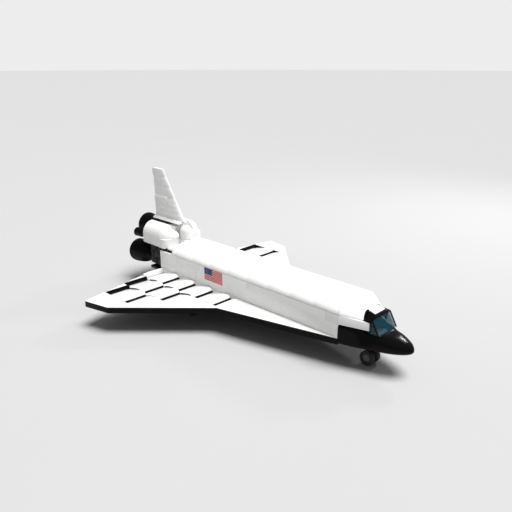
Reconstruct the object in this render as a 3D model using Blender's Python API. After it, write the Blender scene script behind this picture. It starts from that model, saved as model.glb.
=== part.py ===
"""Toy space shuttle built of studded bricks, on its landing gear.

Frame: +X towards the nose, +Y to port, +Z up, metres. The origin is on the floor under
the middle of the model. Inside the script, stations run from the rear roof seam (x = 0)
and heights from the top of the strakes (z = 0); ORIGIN carries them into the frame.
"""
import bpy
import bmesh
from math import acos, cos, sin, pi, radians
from mathutils import Matrix, Vector

STUD = 0.008                 # one stud of the brick grid
PLATE = 0.0032               # one plate, a third of a brick
GAP = 0.0003                 # clearance between neighbouring pieces

SHOULDER_Z = 8 * PLATE       # top of the side walls, where the bay doors hinge
ROOF_Z = 12 * PLATE          # crown of the roof
KEEL_Z = -0.0068             # underside of keel and wings, two plates and their seams
SKIN_T = 0.0007              # thickness of the white skin on the wings
FIELD_Z = -0.0042            # foot of the stepped tiles on the wings
HULL_HALF = 4 * STUD         # half width of the fuselage
WALL = 1 * STUD              # thickness of the side walls
REAR_X = -4 * STUD           # rear end of the side walls
BAY_REAR_X = -1 * STUD       # rear end of the bay doors
BAY_FRONT_X = 32 * STUD      # front end of the bay doors and side walls
DOOR_T = 0.0028              # thickness of a bay door
ROOF_FLAT = 0.004            # half width of the flat crown

NOSE_TIP_X = 0.3232
GLASS_BASE_X = 0.2943        # front foot of the windscreen
GLASS_TOP_X = 0.286          # front top of the windscreen
GLASS_FOOT_Z = 3 * PLATE
GLASS_HALF = 2 * STUD
GLASS_REAR_X = 0.2803
CHEEK_Z = 5 * PLATE          # underside of the cheeks at their rear
CHEEK_END = (0.2826, 0.0172, 0.0122, 0.0208)    # station, half width, underside and top of their fronts
CANOPY_AXIS = (0.2766, 0.0302)    # x and z of the canopy's hinge
HEADER_FOOT_Z = 0.0245       # underside of the black header over the windscreen

WHEEL_R = 0.008
WHEEL_W = 0.006
WHEEL_OUT = 1 * STUD         # outer face of a tyre from the strut's middle
AXLE_Z = -0.0246
NOSE_WHEEL_X = 0.2756
MAIN_WHEEL_X = 0.0545
MAIN_WHEEL_Y = 6 * STUD

BELL_EXIT_X = -0.1014
BELL_R = 0.016
BLOCK_REAR_X = -8 * STUD     # rear face of the engine block
NOZZLE_EXIT_X = -0.0930
NOZZLE_Z = 0.0375

POD_REAR_X = -0.068
POD_ROUND_X = -3 * STUD      # where the pods' rounded fronts begin
POD_Z = 9 * PLATE            # underside of the pods
POD_TOP_Z = 18 * PLATE
POD_R = 2 * STUD             # radius of the pods' curved tops and fronts
POD_SHELF = 0.65             # height of the shelf inside a pod's crest, as a part of the rounding

FLOOR_Z = AXLE_Z - WHEEL_R
MIDDLE_X = (NOSE_TIP_X + BELL_EXIT_X) / 2
ORIGIN = Vector((-MIDDLE_X, 0.0, -FLOOR_Z))

# name: (colour, roughness, metallic, alpha)
FINISHES = {
    "white": ((0.88, 0.88, 0.86), 0.28, 0.0, 1.0),
    "black": ((0.012, 0.012, 0.013), 0.24, 0.0, 1.0),
    "grey": ((0.36, 0.38, 0.39), 0.32, 0.0, 1.0),
    "rubber": ((0.035, 0.036, 0.038), 0.62, 0.0, 1.0),
    "glass": ((0.02, 0.16, 0.19), 0.08, 0.0, 0.55),
}

SIDES = (("port", 1), ("starboard", -1))


def clear_scene():
    for obj in list(bpy.data.objects):
        bpy.data.objects.remove(obj, do_unlink=True)


def new_collection(name):
    coll = bpy.data.collections.new(name)
    bpy.context.scene.collection.children.link(coll)
    return coll


def finish(name):
    mat = bpy.data.materials.get(name)
    if mat:
        return mat
    colour, rough, metal, alpha = FINISHES[name]
    mat = bpy.data.materials.new(name)
    mat.use_nodes = True
    bsdf = mat.node_tree.nodes["Principled BSDF"]
    bsdf.inputs["Base Color"].default_value = (*colour, 1.0)
    bsdf.inputs["Roughness"].default_value = rough
    bsdf.inputs["Metallic"].default_value = metal
    bsdf.inputs["Alpha"].default_value = alpha
    return mat


clear_scene()
PARTS = new_collection("space_shuttle")
CUTTERS = new_collection("cutters")


def piece(name, mesh, mat, pivot=None):
    """Links a mesh in script coordinates as a part; pivot puts its origin on a joint axis."""
    mesh.name = name
    obj = bpy.data.objects.new(name, mesh)
    PARTS.objects.link(obj)
    mesh.materials.clear()
    mesh.materials.append(finish(mat))
    here = Vector(pivot) if pivot else Vector((0, 0, 0))
    mesh.transform(Matrix.Translation(-here))
    obj.location = here + ORIGIN
    return obj


def mesh_from(bm, name="mesh"):
    bmesh.ops.recalc_face_normals(bm, faces=bm.faces)
    mesh = bpy.data.meshes.new(name)
    bm.to_mesh(mesh)
    bm.free()
    return mesh


def box(x, y, z):
    """Box between two stations, two side offsets and two heights."""
    bm = bmesh.new()
    bmesh.ops.create_cube(bm, size=1.0)
    size = Vector((x[1] - x[0], y[1] - y[0], z[1] - z[0]))
    middle = Vector((x[0] + x[1], y[0] + y[1], z[0] + z[1])) / 2
    bmesh.ops.scale(bm, vec=size, verts=bm.verts)
    bmesh.ops.translate(bm, vec=middle, verts=bm.verts)
    return mesh_from(bm)


def slab(outline, low, high, axis):
    """Flat outline given thickness along an axis.

    The outline holds (x, y) pairs for axis Z, (x, z) for axis Y and (y, z) for axis X.
    """
    curve = bpy.data.curves.new("outline", "CURVE")
    curve.dimensions = "2D"
    curve.fill_mode = "BOTH"
    curve.extrude = (high - low) / 2
    spline = curve.splines.new("POLY")
    spline.points.add(len(outline) - 1)
    for point, (u, v) in zip(spline.points, outline):
        point.co = (u, v, 0, 1)
    spline.use_cyclic_u = True
    obj = bpy.data.objects.new("outline", curve)
    CUTTERS.objects.link(obj)
    bpy.context.view_layer.update()
    mesh = bpy.data.meshes.new_from_object(obj.evaluated_get(bpy.context.evaluated_depsgraph_get()))
    bpy.data.objects.remove(obj, do_unlink=True)
    bm = bmesh.new()
    bm.from_mesh(mesh)
    bmesh.ops.remove_doubles(bm, verts=bm.verts, dist=1e-6)
    middle = (low + high) / 2
    turns = {
        "Z": Matrix(((1, 0, 0, 0), (0, 1, 0, 0), (0, 0, 1, middle), (0, 0, 0, 1))),
        "Y": Matrix(((1, 0, 0, 0), (0, 0, -1, middle), (0, 1, 0, 0), (0, 0, 0, 1))),
        "X": Matrix(((0, 0, 1, middle), (1, 0, 0, 0), (0, 1, 0, 0), (0, 0, 0, 1))),
    }
    bm.transform(turns[axis])
    return mesh_from(bm)


def loft(rings):
    """Closed solid through rings with the same number of points."""
    bm = bmesh.new()
    rows = [[bm.verts.new(point) for point in ring] for ring in rings]
    count = len(rows[0])
    for row, after in zip(rows, rows[1:]):
        for k in range(count):
            bm.faces.new((row[k], row[(k + 1) % count], after[(k + 1) % count], after[k]))
    bm.faces.new(rows[0])
    bm.faces.new(rows[-1])
    return mesh_from(bm)


def turned(profile, centre, axis="X", steps=32):
    """Solid of revolution from (along, radius) pairs round a line through centre."""
    bm = bmesh.new()
    verts = [bm.verts.new((radius, 0, along)) for along, radius in profile]
    edges = [bm.edges.new(pair) for pair in zip(verts, verts[1:])]
    bmesh.ops.spin(bm, geom=verts + edges, cent=(0, 0, 0), axis=(0, 0, 1), angle=2 * pi,
                   steps=steps, use_duplicate=False)
    bmesh.ops.remove_doubles(bm, verts=bm.verts, dist=1e-6)
    turns = {
        "X": Matrix.Rotation(pi / 2, 4, "Y"),
        "Y": Matrix.Rotation(-pi / 2, 4, "X"),
        "Z": Matrix.Identity(4),
    }
    bm.transform(Matrix.Translation(Vector(centre)) @ turns[axis])
    return mesh_from(bm)


def mirrored(mesh):
    """Copy of a mesh on the other side of the centre plane."""
    copy = mesh.copy()
    copy.transform(Matrix.Diagonal((1, -1, 1, 1)))
    copy.flip_normals()
    return copy


def on_side(mesh, side):
    return mesh if side > 0 else mirrored(mesh)


def combine(mesh, other, operation):
    """Exact boolean of two meshes in script coordinates."""
    base = bpy.data.objects.new("base", mesh)
    tool = bpy.data.objects.new("tool", other)
    for obj in (base, tool):
        CUTTERS.objects.link(obj)
    modifier = base.modifiers.new("combine", "BOOLEAN")
    modifier.operation = operation
    modifier.solver = "EXACT"
    modifier.object = tool
    bpy.context.view_layer.update()
    result = bpy.data.meshes.new_from_object(base.evaluated_get(bpy.context.evaluated_depsgraph_get()))
    for obj in (base, tool):
        bpy.data.objects.remove(obj, do_unlink=True)
    return result


def joined(*meshes):
    result = meshes[0]
    for mesh in meshes[1:]:
        result = combine(result, mesh, "UNION")
    return result


def cut(mesh, *tools):
    for tool in tools:
        mesh = combine(mesh, tool, "DIFFERENCE")
    return mesh


def round_shaded(obj):
    obj.data.shade_smooth()
    obj.data.set_sharp_from_angle(angle=radians(35))
    return obj


def roof_arc(inset=0.0, steps=8):
    """(y, z) points from the shoulder to the crown, moved inwards by inset."""
    wide = HULL_HALF - ROOF_FLAT - inset
    high = ROOF_Z - SHOULDER_Z - inset
    points = []
    for k in range(steps + 1):
        turn = pi / 2 * k / steps
        points.append((ROOF_FLAT + wide * cos(turn), SHOULDER_Z + high * sin(turn)))
    return points


# Fuselage

def build_fuselage():
    low = KEEL_Z
    piece("keel", box((REAR_X, BAY_FRONT_X), (-HULL_HALF, HULL_HALF), (low, -GAP)), "black")
    piece("bay_floor", box((0, BAY_FRONT_X - STUD - GAP), (-HULL_HALF + WALL + GAP, HULL_HALF - WALL - GAP),
                           (0, PLATE)), "grey")
    for side_name, side in SIDES:
        wall = box((REAR_X, BAY_FRONT_X), (HULL_HALF - WALL, HULL_HALF), (0, SHOULDER_Z))
        piece("side_wall_" + side_name, on_side(wall, side), "white")
    inner = roof_arc(DOOR_T + 2 * GAP)
    half = HULL_HALF - WALL - GAP
    arch = [(half, 0)] + [(half, SHOULDER_Z)] + [(y, z) for y, z in inner if y < half]
    outline = arch + [(-y, z) for y, z in reversed(arch)]
    piece("bulkhead_front", slab(outline, BAY_FRONT_X - STUD, BAY_FRONT_X, "X"), "white")
    piece("bulkhead_rear", slab(outline, BAY_REAR_X, -GAP, "X"), "white")


def build_bay_doors():
    outer = roof_arc()
    inner = roof_arc(DOOR_T)
    for side_name, side in SIDES:
        outline = [(y, z + GAP) for y, z in outer] + [(GAP / 2, ROOF_Z + GAP), (GAP / 2, ROOF_Z - DOOR_T + GAP)]
        outline += [(y, z + GAP) for y, z in reversed(inner)]
        mesh = slab(outline, BAY_REAR_X + GAP, BAY_FRONT_X - GAP, "X")
        axis = (0, side * HULL_HALF, SHOULDER_Z + GAP / 2)
        round_shaded(piece("bay_door_" + side_name, on_side(mesh, side), "white", axis))


# Nose

def nose_ring(x, foot, shoulder, low, high, square):
    """Section of the lower nose: half widths at its foot and top; squarer for a larger exponent."""
    points = []
    count = 28
    for k in range(count):
        turn = 2 * pi * (k + 0.5) / count
        c, s = cos(turn), sin(turn)
        rise = abs(s) ** (2 / square) * (1 if s > 0 else -1)
        half = foot + (shoulder - foot) * (rise + 1) / 2
        y = half * abs(c) ** (2 / square) * (1 if c > 0 else -1)
        points.append((x, y, (low + high) / 2 + (high - low) / 2 * rise))
    return points


def build_nose():
    end_x, end_half, end_low, end_top = CHEEK_END
    # columns: station, half width at the foot, half width at the top, underside, top, squareness
    sections = (
        (BAY_FRONT_X + GAP, HULL_HALF, HULL_HALF, KEEL_Z, CHEEK_Z - GAP, 9.0),
        (0.270, 0.0290, 0.0248, KEEL_Z, 0.0138, 8.0),
        (end_x, 0.0250, end_half, KEEL_Z - 0.0002, end_low - GAP, 6.0),
        (0.2905, 0.0220, 0.0172, KEEL_Z - 0.0006, 0.0106, 4.4),
        (0.2960, 0.0204, 0.0162, KEEL_Z - 0.0010, 0.0090, 3.4),
        (0.304, 0.0178, 0.0152, KEEL_Z - 0.0012, 0.0080, 2.6),
        (0.311, 0.0142, 0.0130, -0.0076, 0.0062, 2.2),
        (0.3172, 0.0098, 0.0096, -0.0066, 0.0040, 2.0),
        (0.3216, 0.0046, 0.0046, -0.0048, 0.0008, 2.0),
        (NOSE_TIP_X, 0.0012, 0.0012, -0.0030, -0.0012, 2.0),
    )
    shell = loft([nose_ring(*row) for row in sections])
    cabin = box((BAY_FRONT_X + 0.004, GLASS_BASE_X - 0.0018), (-0.0145, 0.0145), (0.0, 0.03))
    rebate = box((GLASS_REAR_X - GAP, GLASS_BASE_X + 0.0005), (-0.03, 0.03), (GLASS_FOOT_Z - GAP, 0.03))
    piece("nose", cut(shell, cabin, rebate), "black")
    rear_x = BAY_FRONT_X + GAP
    thick = 0.0009
    for side_name, side in SIDES:
        rings = []
        for x, outer, inner, low, high in ((rear_x, HULL_HALF, HULL_HALF - 0.004, CHEEK_Z, SHOULDER_Z),
                                           (end_x, end_half, end_half - thick, end_low, end_top)):
            rings.append([(x, inner, low), (x, outer, low), (x, outer, high), (x, inner, high)])
        piece("cheek_" + side_name, on_side(loft(rings), side), "white")


# columns of SLOPE_END: side offset, height of the section where the white slope meets the header
SLOPE_END = ((0.0187, 0.0222), (0.0179, 0.0236), (0.0169, 0.0245), (0.0156, 0.0252), (0.0142, 0.0260),
             (0.0126, 0.0270), (0.0112, 0.0279), (0.0098, 0.0290), (0.0084, 0.0302), (0.0030, 0.0302))
SLOPE_CREASE = 0.0115        # half width of the slope's flat top where it leaves the roof


def closed_ring(x, half_section):
    ring = [(x, y, z) for y, z in half_section]
    return ring + [(x, -y, z) for y, z in reversed(half_section)]


def build_roof_front():
    """White slope from the roof's end down to the windscreen's header."""
    wide, high = HULL_HALF - ROOF_FLAT, ROOF_Z - SHOULDER_Z
    turn = acos((SLOPE_CREASE - ROOF_FLAT) / wide) / 8
    rear = [(ROOF_FLAT + wide * cos(turn * k), SHOULDER_Z + GAP + high * sin(turn * k)) for k in range(9)]
    rear.append((ROOF_FLAT, ROOF_Z + GAP))
    rings = [closed_ring(BAY_FRONT_X + GAP, rear), closed_ring(CANOPY_AXIS[0] - GAP, SLOPE_END)]
    round_shaded(piece("roof_front", loft(rings), "white"))


def build_canopy():
    ax, az = CANOPY_AXIS
    pivot = (ax, 0, az)
    sheet = 0.0014
    top = HEADER_FOOT_Z - GAP
    inset = GLASS_BASE_X - sheet * 1.15
    outer = [(GLASS_REAR_X, GLASS_FOOT_Z), (GLASS_BASE_X, GLASS_FOOT_Z), (GLASS_TOP_X, top), (GLASS_REAR_X, top)]
    inner = [(0.27, GLASS_FOOT_Z - 0.002), (inset, GLASS_FOOT_Z - 0.002), (inset, GLASS_FOOT_Z),
             (GLASS_TOP_X - sheet * 1.15, top - sheet), (0.27, top - sheet)]
    glass = cut(slab(outer, -GLASS_HALF, GLASS_HALF, "Y"), slab(inner, -GLASS_HALF + sheet, GLASS_HALF - sheet, "Y"))
    piece("canopy_glass", glass, "glass", pivot)

    # columns: side offset and height of the header's section at its rear, under its cap's front and at the glass
    rear = ((0.0176, HEADER_FOOT_Z), (0.0160, 0.0250), (0.0144, 0.0259), (0.0126, 0.0270), (0.0098, 0.0287),
            (0.0030, 0.0290))
    middle = ((0.0172, HEADER_FOOT_Z), (0.0162, 0.0249), (0.0148, 0.0256), (0.0128, 0.0264), (0.0098, 0.0272),
              (0.0030, 0.0273))
    front = ((0.0166, HEADER_FOOT_Z), (0.0162, 0.0248), (0.0152, 0.0250), (0.0136, 0.0251), (0.0110, 0.0252),
             (0.0030, 0.0253))
    stations = (ax + 0.0001, 0.2833, GLASS_TOP_X + 0.0002)
    header = loft([closed_ring(x, section) for x, section in zip(stations, (rear, middle, front))])
    half = GLASS_HALF + 0.0016
    width = 0.0024
    post = [(GLASS_BASE_X - width, GLASS_FOOT_Z), (GLASS_BASE_X, GLASS_FOOT_Z),
            (GLASS_TOP_X - 0.0001, HEADER_FOOT_Z + 0.0002), (GLASS_TOP_X - width, HEADER_FOOT_Z + 0.0002)]
    drop = [(ax + 0.0003, 0.0225), (0.2828, 0.0211), (0.2838, HEADER_FOOT_Z + 0.0002), (ax + 0.0003, HEADER_FOOT_Z + 0.0002)]
    frame = header
    for side in (-1, 1):
        for outline, reach in ((post, 0.0165), (drop, half)):
            low, high = sorted((side * reach, side * (GLASS_HALF + 0.0001 + GAP / 2)))
            frame = joined(frame, slab(outline, low, high, "Y"))
    piece("canopy_frame", frame, "black", pivot)
    cap = [(ax + 0.0001, az), (ax + 0.0001, 0.0290 + GAP), (0.2832, 0.0273 + GAP), (0.2832, 0.0284)]
    piece("canopy_cap", slab(cap, -0.0086, 0.0086, "Y"), "white", pivot)


def build_cabin():
    front = GLASS_BASE_X - 0.004
    piece("console", slab([(front - 0.012, GAP), (front, GAP), (front, 0.0048), (front - 0.003, 0.008),
                           (front - 0.012, 0.0048)], -0.0078, 0.0078, "Y"), "grey")
    piece("seat", slab([(0.262, GAP), (0.2755, GAP), (0.2755, 0.0048), (0.2665, 0.0048), (0.2640, 0.0165),
                        (0.262, 0.0165)], -0.0068, 0.0068, "Y"), "grey")


# Wings

def wing_outline():
    """(x, y) outline of the port wing, from its root round the tip."""
    return [
        (-0.0335, HULL_HALF + GAP), (-0.0335, 0.0520), (-0.0304, 0.0638),
        (-0.0173, 0.0638), (-0.0173, 0.0958), (-0.0093, 0.0958), (-0.0093, 0.1282), (-0.0154, 0.1282),
        (-0.0085, 0.1585), (0.0257, 0.1507), (0.1145, 0.0662), (0.2538, HULL_HALF + GAP),
    ]


# columns of STRIPS: inner edge in studs, rear end, front of the first tile, tiles, end of the ramp before them
STRIPS = (
    (4, -0.0270, 0.0064, 4, 0.1125),
    (8, -0.0172, 0.0144, 2, 0.0700),
    (12, -0.0092, 0.0224, 1, 0.0410),
)
# columns of TILE: part of the tile's length from its rear, height of its top
TILE = ((0.0, FIELD_Z), (0.2, -0.0023), (0.39, -0.0008), (0.6, 0.0008), (0.79, 0.0018),
        (0.88, 0.0019), (0.95, 0.0012), (0.99, 0.0001), (1.0, -0.0007))
# columns of RAMP: part of the ramp's length, part of its rise
RAMP = ((0.0, 0.0), (0.3, 0.42), (0.6, 0.76), (0.85, 0.95), (1.0, 1.0))


def strip_profile(rear, first_front, count, ramp_end):
    """(x, z) outline of a row of stepped tiles with the ramp before it."""
    length = 4 * STUD
    points = []
    for k in range(count):
        front = first_front + k * length
        for part, height in TILE:
            x = front - length + part * length
            if x > rear + 0.0004 or not points:
                points.append((max(x, rear), height))
    last = points[-1][0]
    climb = SKIN_T - 0.0002 - FIELD_Z
    points += [(last + part * (ramp_end - last), FIELD_Z + rise * climb) for part, rise in RAMP]
    low = FIELD_Z - 0.0008
    end = ramp_end + 0.0004
    return [(rear, low)] + points + [(end, FIELD_Z + climb), (end, low)]


def field_outline(by, rears, root, beside):
    """Plan of the rows of tiles: by moves its fronts and outer sides out, rears and beside set its stepped rear."""
    points = [(rears[0], root)]
    for (inner, _, _, _, ramp_end) in STRIPS:
        low = root if inner == 4 else inner * STUD + by
        points += [(ramp_end + by, low), (ramp_end + by, (inner + 4) * STUD + by)]
    for (inner, _, _, _, _), rear in reversed(tuple(zip(STRIPS, rears))):
        points.append((rear, points[-1][1]))
        if inner > 4:
            points.append((rear, inner * STUD + beside))
    return points


def build_wings():
    tub_low = FIELD_Z - 0.0010
    root = HULL_HALF + GAP
    field = field_outline(0.0, (-0.0268, -0.0200, -0.0120), 0.0310, 0.0003)
    tub_plan = field_outline(0.0008, (-0.0276, -0.0170, -0.0090), root + 0.0002, -0.0006)
    pocket = field_outline(0.0011, (-0.0279, -0.0210, -0.0130), 0.0300, 0.0006)
    fairing = [(-0.0302, 0.0002), (-0.0302, 0.0008), (-0.0294, 0.0018), (-0.0280, 0.0023), (-0.0266, 0.0021),
               (-0.0266, 0.0002)]
    for side_name, side in SIDES:
        base = cut(slab(wing_outline(), KEEL_Z, 0.0, "Z"), slab(pocket, tub_low - GAP, 0.002, "Z"))
        skin = joined(slab(wing_outline(), GAP, SKIN_T, "Z"), slab(tub_plan, tub_low, SKIN_T - 0.0002, "Z"))
        skin = cut(skin, slab(field, FIELD_Z - 0.0004, 0.004, "Z"))
        for inner, rear, first_front, count, ramp_end in STRIPS:
            y0 = max(root + 0.0005, inner * STUD + 0.0001)
            y1 = (inner + 4) * STUD + (0.0004 if inner == 12 else -0.0001)
            profile = strip_profile(rear, first_front, count, ramp_end)
            if inner == 4:
                profile[1:2] = [(rear, 0.0021), (-0.0264, 0.0020), (-0.0259, 0.0009), (-0.0258, FIELD_Z)]
            skin = joined(skin, slab(profile, y0, y1, "Y"))
        skin = joined(skin, slab(fairing, root + 0.0010, 0.0632, "Y"))
        piece("wing_" + side_name, on_side(base, side), "black")
        piece("wing_skin_" + side_name, on_side(skin, side), "white")


def build_elevons():
    # columns: name, hinge station, inner edge, outer edge, trailing edge at the inner and outer edges
    rows = (("inner", -0.0204, 0.0643, 0.0955, -0.0303, -0.0237),
            ("outer", -0.0124, 0.0963, 0.1277, -0.0230, -0.0158))
    radius = 0.0026
    mid_z = -0.0012
    for side_name, side in SIDES:
        for label, hinge_x, y0, y1, tail0, tail1 in rows:
            half = (y1 - y0) / 2
            pivot = (hinge_x, side * (y0 + half), mid_z)
            bar = turned([(-half, 0), (-half, radius), (half, radius), (half, 0)], (hinge_x, y0 + half, mid_z), "Y", 20)
            wide = radius + GAP
            room = turned([(-half - GAP, 0), (-half - GAP, wide), (half + GAP, wide), (half + GAP, 0)],
                          (hinge_x, y0 + half, mid_z), "Y", 20)
            blade = slab([(hinge_x, y0), (hinge_x, y1), (tail1, y1), (tail0, y0)], mid_z - 0.0012, mid_z + 0.0012, "Z")
            piece("elevon_bar_%s_%s" % (label, side_name), on_side(bar, side), "black", pivot)
            piece("elevon_%s_%s" % (label, side_name), on_side(cut(blade, room), side), "white", pivot)


# Tail

def build_engines():
    piece("engine_block", box((BLOCK_REAR_X, REAR_X - GAP), (-3 * STUD, 3 * STUD), (0.0, POD_Z - GAP)), "black")
    piece("body_flap", box((-0.066, REAR_X - GAP), (-3 * STUD, 3 * STUD), (KEEL_Z - 0.0016, KEEL_Z + 0.0018)), "black")
    # columns: name, side offset, height of the axis
    rows = (("top", 0.0, 0.0425), ("port", 0.018, 0.0082), ("starboard", -0.018, 0.0082))
    for name, y, z in rows:
        start = BLOCK_REAR_X - GAP - BELL_EXIT_X
        profile = [(start, 0), (start, 0.0062), (start - 0.004, 0.0066), (start - 0.010, 0.0100),
                   (start - 0.020, 0.0137), (0.003, 0.0156), (0.0, BELL_R), (0.0, BELL_R - 0.0014),
                   (0.003, 0.0140), (start - 0.020, 0.0119), (start - 0.010, 0.0080), (start - 0.007, 0)]
        round_shaded(piece("bell_" + name, turned(profile, (BELL_EXIT_X, y, z)), "black"))


def build_pods():
    steps = 8
    crest_y = HULL_HALF - POD_R
    crest_z = POD_TOP_Z - POD_R
    for side_name, side in SIDES:
        rings = []
        for station, reach in [(POD_REAR_X, POD_R)] + [
                (POD_ROUND_X + POD_R * sin(pi / 2 * k / steps), max(POD_R * cos(pi / 2 * k / steps), GAP))
                for k in range(steps + 1)]:
            ring = [(station, STUD + GAP, POD_Z), (station, crest_y + reach, POD_Z)]
            for k in range(9):
                turn = pi / 2 * k / 8
                ring.append((station, crest_y + reach * cos(turn), crest_z + reach * sin(turn)))
            shelf_z = crest_z + POD_SHELF * reach
            ring += [(station, crest_y, shelf_z), (station, STUD + GAP, shelf_z)]
            rings.append(ring)
        round_shaded(piece("pod_" + side_name, on_side(loft(rings), side), "white"))
        start = POD_REAR_X - GAP - NOZZLE_EXIT_X
        profile = [(start, 0), (start, 0.0032), (0.022, 0.0034), (0.012, 0.0050), (0.0, 0.0062), (0.0, 0.0050),
                   (0.012, 0.0038), (0.018, 0)]
        centre = (NOZZLE_EXIT_X, side * 3 * STUD, NOZZLE_Z)
        round_shaded(piece("nozzle_" + side_name, turned(profile, centre, "X", 20), "black"))


def fin_ring(z, rear, side_front, edge, half):
    """Section of the fin: flat sides and a wedge to its leading edge."""
    return [(rear, -half, z), (side_front, -half, z), (edge, -0.0008, z),
            (edge, 0.0008, z), (side_front, half, z), (rear, half, z)]


def build_fin():
    piece("tail_deck", box((REAR_X, BAY_REAR_X - GAP), (-0.0295, 0.0295), (SHOULDER_Z + GAP, POD_Z - GAP)), "black")
    core = box((-0.064, -0.0290), (-STUD, STUD), (POD_Z, POD_TOP_Z - PLATE - GAP))
    step = box((-0.0300, BAY_REAR_X - GAP), (-STUD + 0.0001, STUD - 0.0001), (POD_Z + 0.0001, ROOF_Z))
    piece("fin_core", joined(core, step), "white")
    piece("fin_base", box((-0.077, -0.0436), (-STUD, STUD), (POD_TOP_Z - PLATE, POD_TOP_Z)), "black")
    piece("fin_root", box((-0.0765, -0.0212), (-STUD, STUD), (POD_TOP_Z + GAP, POD_TOP_Z + PLATE)), "white")
    foot = POD_TOP_Z + PLATE + GAP
    # columns: height, rear edge, front of the flat side, leading edge, half thickness
    lower = ((foot, -0.0745, -0.0240, -0.0178, 0.0040), (0.0812, -0.0756, -0.0380, -0.0312, 0.0040),
             (0.0815, -0.0756, -0.0500, -0.0314, 0.0040), (0.0896, -0.0762, -0.0538, -0.0368, 0.0040))
    upper = ((0.0899, -0.0764, -0.0428, -0.0370, 0.0026), (0.1180, -0.0780, -0.0612, -0.0548, 0.0026),
             (0.1250, -0.0782, -0.0636, -0.0586, 0.0026))
    piece("fin_lower", loft([fin_ring(*row) for row in lower]), "white")
    piece("fin_upper", loft([fin_ring(*row) for row in upper]), "white")
    dome_r = STUD - GAP
    dome_low = ROOF_Z + GAP
    dome_high = POD_TOP_Z - GAP
    profile = [(dome_low, 0), (dome_low, dome_r)]
    for k in range(9):
        turn = pi / 2 * k / 8
        profile.append((dome_high - dome_r + dome_r * sin(turn), dome_r * cos(turn)))
    round_shaded(piece("tail_dome", turned(profile, (-0.0195, 0, 0), "Z", 32), "white"))


# Landing gear

def build_gear():
    # columns: name, station, side offset, foot of the leg's mount
    rows = (("nose", NOSE_WHEEL_X, 0.0, KEEL_Z), ("main_port", MAIN_WHEEL_X, MAIN_WHEEL_Y, KEEL_Z),
            ("main_starboard", MAIN_WHEEL_X, -MAIN_WHEEL_Y, KEEL_Z))
    for name, x, y, top in rows:
        leg = joined(box((x - 0.008, x + 0.008), (y - 0.008, y + 0.008), (top - GAP - PLATE, top - GAP)),
                     box((x - 0.0025, x + 0.0025), (y - 0.0015, y + 0.0015), (AXLE_Z - 0.003, top - GAP - PLATE / 2)))
        bore = turned([(-0.004, 0), (-0.004, 0.0017), (0.004, 0.0017), (0.004, 0)], (x, y, AXLE_Z), "Y", 16)
        piece("gear_leg_" + name, cut(leg, bore), "black")
        pivot = (x, y, AXLE_Z)
        hub_r, pin_r = 0.0040, 0.0015
        inner_y = WHEEL_OUT - WHEEL_W
        face = WHEEL_OUT - 0.0008
        profile = [(-face, 0), (-face, hub_r), (-inner_y, hub_r), (-inner_y, pin_r), (inner_y, pin_r),
                   (inner_y, hub_r), (face, hub_r), (face, 0)]
        round_shaded(piece("axle_" + name, turned(profile, pivot, "Y", 24), "grey", pivot))
        for side_name, side in SIDES:
            low, high = inner_y, WHEEL_OUT
            inner_r = hub_r + GAP
            ring = [(low, inner_r), (low, WHEEL_R - 0.0012), (low + 0.0012, WHEEL_R), (high - 0.0012, WHEEL_R),
                    (high, WHEEL_R - 0.0012), (high, inner_r), (low, inner_r)]
            if side < 0:
                ring = [(-a, r) for a, r in ring]
            round_shaded(piece("tyre_%s_%s" % (name, side_name), turned(ring, pivot, "Y", 32), "rubber", pivot))


build_fuselage()
build_bay_doors()
build_nose()
build_roof_front()
build_canopy()
build_cabin()
build_wings()
build_elevons()
build_engines()
build_pods()
build_fin()
build_gear()
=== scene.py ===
import bmesh
import bpy
from math import acos, cos, pi, radians, sin
from mathutils import Matrix, Vector


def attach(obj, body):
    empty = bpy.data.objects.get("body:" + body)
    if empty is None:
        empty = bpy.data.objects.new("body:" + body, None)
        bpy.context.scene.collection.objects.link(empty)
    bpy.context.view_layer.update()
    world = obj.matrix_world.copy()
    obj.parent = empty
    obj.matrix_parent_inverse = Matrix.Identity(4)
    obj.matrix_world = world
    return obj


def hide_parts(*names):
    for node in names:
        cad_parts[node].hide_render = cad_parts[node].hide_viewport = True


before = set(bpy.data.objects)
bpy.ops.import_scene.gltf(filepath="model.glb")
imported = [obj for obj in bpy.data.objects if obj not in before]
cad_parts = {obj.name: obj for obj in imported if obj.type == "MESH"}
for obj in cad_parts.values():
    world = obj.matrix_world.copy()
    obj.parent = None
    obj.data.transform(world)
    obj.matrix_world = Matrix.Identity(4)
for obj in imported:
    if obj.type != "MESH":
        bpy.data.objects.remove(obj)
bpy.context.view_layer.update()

# brick grid in millimetres; x forward from the bay's rear joint, y to port, z up from the wings' top
gridStart = Vector((-110.9, 0.0, 32.6))  # from the grid's zero to the model's own zero
toModel = Matrix.Scale(0.001, 4) @ Matrix.Translation(gridStart)
sides = (("port", 1), ("starboard", -1))

pieceFolder = bpy.data.collections.new("shuttlePieces")
bpy.context.scene.collection.children.link(pieceFolder)


# mesh helpers
def mapped(axis, u, v, w):
    if axis == "Z":
        return (u, v, w)
    return (u, w, v) if axis == "Y" else (w, u, v)


def quarter(steps):
    # angles of a quarter turn
    return [pi / 2 * k / steps for k in range(steps + 1)]


def joinFaces(bm, corners, look):
    faces = [bm.faces.new(c) for c in corners]
    for f in faces:
        f.material_index = look
    bmesh.ops.recalc_face_normals(bm, faces=faces)
    return faces


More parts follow.
